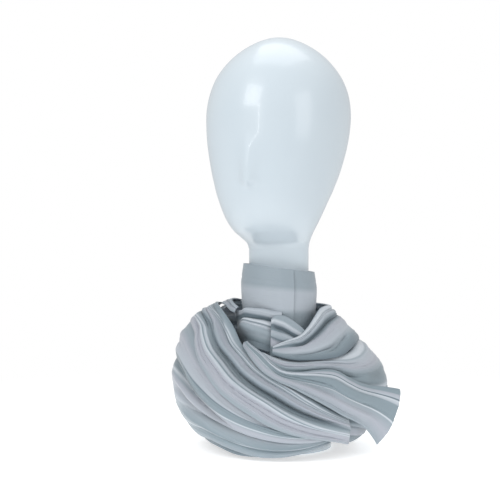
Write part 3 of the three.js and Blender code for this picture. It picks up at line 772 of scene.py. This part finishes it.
def cloth_material(name):
    """Striped chiffon: a colour ramp across, painted shade in hollows, and streaks in its roughness and
    bump.
    """
    material, tree, shader = new_material(name + "_chiffon", SHEEN)
    place = add_node(tree, "ShaderNodeUVMap", {"uv_map": "cloth"}, {})
    split = add_node(tree, "ShaderNodeSeparateXYZ", {}, {"Vector": Value(tree, place.outputs["UV"])})
    along = Value(tree, split.outputs["X"])
    across = Value(tree, split.outputs["Y"])
    ramp = add_node(tree, "ShaderNodeValToRGB", {}, {"Fac": slid_across(tree, name, along, across)})
    set_ramp(ramp.color_ramp, [(at, linear(TONES[tone])) for at, tone in STRIPES[name]])
    painted_shade = add_node(tree, "ShaderNodeAttribute", {"attribute_name": "painted_shade"}, {})
    # Painted shade: the stripes are mixed towards the dark tone by the painted shade attribute.
    dark = Value(tree, painted_shade.outputs["Fac"]) * PAINTED_SHADE_SHARE
    stripes = Value(tree, ramp.outputs["Color"])
    painted_shade_mix = add_node(tree, "ShaderNodeMix", {"data_type": "RGBA"},
                     {0: dark, 6: stripes, 7: linear(PAINTED_SHADE_TONE)})
    tree.links.new(painted_shade_mix.outputs[2], shader.inputs["Base Color"])
    yarns = add_node(tree, "ShaderNodeCombineXYZ", {},
                     {"X": along * STREAKS["along"], "Y": across * STREAKS["across"]})
    streak = add_node(tree, "ShaderNodeTexNoise", {"noise_dimensions": "2D"},
                      {"Vector": Value(tree, yarns.outputs[0]), "Scale": 1.0, "Detail": STREAKS["detail"]})
    height = Value(tree, streak.outputs["Fac"])
    rough = height * ROUGHNESS["more"] + ROUGHNESS["least"]
    tree.links.new(rough.socket, shader.inputs["Roughness"])
    bump = add_node(tree, "ShaderNodeBump", {}, {**CRINKLE, "Height": height})
    tree.links.new(bump.outputs["Normal"], shader.inputs["Normal"])
    return material


# %% [markdown]
# Each stretch is built and coloured, and its width across and its length along are printed.

# %% The stretches of cloth
for name in CELLS:
    piece, width, length = cloth_piece(name)
    piece.data.materials.append(cloth_material(name))
    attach(piece, "root")
    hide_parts(name)
    print(name, "width", round(width, 3), "length", round(length, 3))

# %% [markdown]
# The display head is one smooth casting. Rings of half width, half depth and a shift forward are joined
# by smooth curves, with only a faint ridge for a nose.

# %% Sizes of the display head
HEAD_YAW = -22
HEAD_CROWN = {"up": 466, "forward": -7}
NOSE = {"from": 352, "tip": 298, "under": 287, "height": 8, "half_turn": 7}
HEAD_AROUND = 192
NECK_RING = 7
RING_STEPS = {"foot": 40, "face": 110, "crown": 12}
HEAD_RINGS = [
    [0, 60, 60, 0],
    [5, 60, 60, 0],
    [9, 56, 56, 0],
    [16, 46, 46, 0],
    [30, 38, 38, 0],
    [54, 34.5, 34.5, 0],
    [90, 34, 34, 0],
    [224, 34, 34, 0],
    [231, 35.5, 37, 2],
    [237, 39, 44, 8],
    [244, 44, 51, 15],
    [254, 50, 58, 18],
    [266, 55.5, 65, 18],
    [280, 61, 72, 16],
    [288, 64, 76, 14],
    [296, 66.5, 79.5, 12],
    [306, 69.5, 84, 9.5],
    [320, 73, 89, 6.5],
    [340, 77, 94.5, 3],
    [360, 79.5, 97.5, 0],
    [380, 80, 98, -2],
    [400, 77, 94, -4],
    [418, 70, 86, -5],
    [434, 59, 73, -6],
    [447, 46, 57, -7],
    [457, 31, 39, -7],
    [463, 18, 23, -7],
]


# %% The display head
def head_rings():
    """Rings from foot to crown: [up, half width, half depth, forward], four steps between any two."""
    rings = np.asarray(HEAD_RINGS, float)
    foot = rings[:NECK_RING + 1]
    steps = np.linspace(0, len(rings) - 1 - NECK_RING, RING_STEPS["face"])
    upper = np.stack([through_list(rings[NECK_RING:, k], steps) for k in range(4)], 1)
    low_steps = np.linspace(1, NECK_RING, RING_STEPS["foot"])
    lower = np.stack([through_list(foot[:, k], low_steps) for k in range(4)], 1)
    cap = np.linspace(0, 1, RING_STEPS["crown"])[1:-1, None]
    last = rings[-1]
    top = np.array([HEAD_CROWN["up"], 0, 0, HEAD_CROWN["forward"]])
    left = 1 - cap
    closing = np.hstack([last[0] + (top[0] - last[0]) * (1 - left ** 2), last[1] * left,
                         last[2] * left, top[3] + (last[3] - top[3]) * left])
    return np.concatenate([foot[:1], lower, upper[1:], closing])


def head_piece():
    """A closed body of rings, turned to the side that the head faces."""
    rings = head_rings()[:, :, None]
    even = np.linspace(0, 2 * np.pi, HEAD_AROUND, endpoint=False)[None]
    turn = np.degrees((even + np.pi) % (2 * np.pi) - np.pi)
    up, wide, dark_yarn_and_shade, forward = (rings[:, k] for k in range(4))
    above = smooth((NOSE["from"] - up) / (NOSE["from"] - NOSE["tip"]))
    below = smooth((up - NOSE["under"]) / (NOSE["tip"] - NOSE["under"]))
    nose = NOSE["height"] * np.where(up >= NOSE["tip"], above, below)
    nose = nose * np.exp(-(turn / NOSE["half_turn"]) ** 2)
    side = wide * np.sin(even)
    ahead = forward + (dark_yarn_and_shade + nose) * np.cos(even)
    yaw = math.radians(HEAD_YAW)
    points = np.stack([side * math.cos(yaw) + ahead * math.sin(yaw),
                       side * math.sin(yaw) - ahead * math.cos(yaw),
                       np.broadcast_to(up, side.shape)], -1)
    rows = points.shape[0]
    number = np.arange(rows * HEAD_AROUND).reshape(rows, HEAD_AROUND)
    beside = np.roll(number, -1, 1)
    quads = np.stack([number[:-1], beside[:-1], beside[1:], number[1:]], -1).reshape(-1, 4)
    foot, crown = rows * HEAD_AROUND, rows * HEAD_AROUND + 1
    ahead_top = HEAD_CROWN["forward"]
    ends = [[0, 0, 0], [ahead_top * math.sin(yaw), -ahead_top * math.cos(yaw), HEAD_CROWN["up"]]]
    flat = points.reshape(-1, 3)
    faces = quads.tolist()
    faces += np.stack([np.full(HEAD_AROUND, foot), beside[0], number[0]], 1).tolist()
    faces += np.stack([np.full(HEAD_AROUND, crown), number[-1], beside[-1]], 1).tolist()
    mesh = bpy.data.meshes.new("display_head_shell")
    mesh.from_pydata((np.concatenate([flat, ends]) * MM).tolist(), [], faces)
    mesh.update()
    mesh.shade_smooth()
    piece = bpy.data.objects.new("display_head_shell", mesh)
    bpy.context.collection.objects.link(piece)
    return piece


# %% [markdown]
# The casting is pale plastic under a clear gloss. A coat over a rougher base gives soft highlights with
# a sharper core, as moulded plastic has, and a faint cloud keeps the tone from looking printed.

# %% Glossy plastic
GLOSS = {"Roughness": 0.3, "Coat Weight": 0.3, "Coat Roughness": 0.08}
CLOUD_SCALE = 8.0
CLOUD = [(0.3, (0.82, 0.87, 0.905)), (0.7, (0.84, 0.885, 0.915))]


def gloss_material():
    """Smooth pale plastic under a clear gloss, a little bluer in faint clouds."""
    material, tree, shader = new_material("head_gloss", GLOSS)
    place = add_node(tree, "ShaderNodeTexCoord", {}, {})
    cloud = add_node(tree, "ShaderNodeTexNoise", {},
                     {"Vector": Value(tree, place.outputs["Object"]), "Scale": CLOUD_SCALE})
    ramp = add_node(tree, "ShaderNodeValToRGB", {}, {"Fac": Value(tree, cloud.outputs["Fac"])})
    set_ramp(ramp.color_ramp, [(at, linear(tone)) for at, tone in CLOUD])
    tree.links.new(ramp.outputs["Color"], shader.inputs["Base Color"])
    return material


head = head_piece()
head.data.materials.append(gloss_material())
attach(head, "root")
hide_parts("display_head")
print("display head", len(head.data.polygons), "faces")

# %% [markdown]
# The lamps are soft boxes: a broad one in front on the left, a weaker one on the right, a weak one
# overhead, and a narrow strip that draws a streak down the forehead.

# %% Lamps
scene = bpy.context.scene
# Name, place, aim and size in metres, power in watts.
LAMPS = [
    ["key", (-0.9, -1.2, 1.35), (0, 0, 0.2), (0.9, 0.9), 11],
    ["fill", (1.3, -0.9, 0.8), (0, 0, 0.2), (0.7, 1.0), 4],
    ["strip", (-0.55, -1.5, 0.75), (0, 0, 0.4), (0.05, 0.6), 1.2],
    ["top", (0.1, 0.3, 1.6), (0, 0, 0.2), (1.0, 1.0), 4.5],
]


def area_lamp(name, place, aim, size, power):
    """A rectangular lamp at place, turned to aim."""
    data = bpy.data.lights.new(name, "AREA")
    data.shape = "RECTANGLE"
    data.size, data.size_y = size
    data.energy = power
    lamp = bpy.data.objects.new(name, data)
    lamp.location = place
    away = lamp.location - type(lamp.location)(aim)
    lamp.rotation_euler = away.to_track_quat("Z", "Y").to_euler()
    bpy.context.collection.objects.link(lamp)


for row in LAMPS:
    area_lamp(*row)
print("lamps", len(LAMPS))

# %% [markdown]
# The surround is white to the camera and dimmer to the object, so the pale head keeps its tones.

# %% Surround
SURROUND_LIGHT = 0.62

world = bpy.data.worlds.new("studio")
scene.world = world
world.use_nodes = True
surround = world.node_tree
dim = surround.nodes["Background"]
dim.inputs["Color"].default_value = (1, 1, 1, 1)
dim.inputs["Strength"].default_value = SURROUND_LIGHT
bright = add_node(surround, "ShaderNodeBackground", {}, {"Color": (1, 1, 1, 1), "Strength": 1.0})
path = add_node(surround, "ShaderNodeLightPath", {}, {})
either = add_node(surround, "ShaderNodeMixShader", {}, {
    0: Value(surround, path.outputs["Is Camera Ray"]),
    1: Value(surround, dim.outputs[0]),
    2: Value(surround, bright.outputs[0]),
})
surround.links.new(either.outputs[0], surround.nodes["World Output"].inputs["Surface"])
print("surround light", SURROUND_LIGHT)

# %% [markdown]
# The floor only has to carry the soft shadow. It glows a little, so that it reads as white, and fades
# out away from the object, so that no horizon shows.

# %% Floor
FLOOR = 6.0
FLOOR_DROP = 0.0005
FLOOR_PAINT = {
    "Base Color": (0.9, 0.9, 0.9, 1), "Roughness": 0.8,
    "Emission Color": (1, 1, 1, 1), "Emission Strength": 0.55,
}
FLOOR_FADE = {"From Min": 0.2, "From Max": 0.75, "To Min": 1.0, "To Max": 0.0}

floor_points = np.array([[-1, -1, 0], [1, -1, 0], [1, 1, 0], [-1, 1, 0]]) * (FLOOR, FLOOR, 0)
floor = new_mesh("floor", floor_points - (0, 0, FLOOR_DROP), np.array([[0, 1, 2, 3]]))
floor_material, floor_tree, floor_shader = new_material("floor_white", FLOOR_PAINT)
floor_place = add_node(floor_tree, "ShaderNodeTexCoord", {}, {})
reach = add_node(floor_tree, "ShaderNodeVectorMath", {"operation": "LENGTH"},
                 {0: Value(floor_tree, floor_place.outputs["Object"])})
fade = add_node(floor_tree, "ShaderNodeMapRange", {"interpolation_type": "SMOOTHSTEP"},
                {"Value": Value(floor_tree, reach.outputs["Value"]), **FLOOR_FADE})
floor_tree.links.new(fade.outputs["Result"], floor_shader.inputs["Alpha"])
floor.data.materials.append(floor_material)
print("floor", 2 * FLOOR, "m wide")

# %% [markdown]
# The camera looks level from the front at half the height of the object, through a long lens that
# flattens the view a little, as in a shop picture.

# %% Camera
CAMERA_PLACE = (-0.033, -1.150, 0.223)
SENSOR = 36.0
FOCAL = 72.3
camera_data = bpy.data.cameras.new("camera")
camera_data.sensor_width = SENSOR
camera_data.lens = FOCAL
camera = bpy.data.objects.new("camera", camera_data)
camera.location = CAMERA_PLACE
camera.rotation_euler = (math.pi / 2, 0, 0)
bpy.context.collection.objects.link(camera)
scene.camera = camera
scene.view_settings.view_transform = "Standard"
print("lens", FOCAL, "mm")
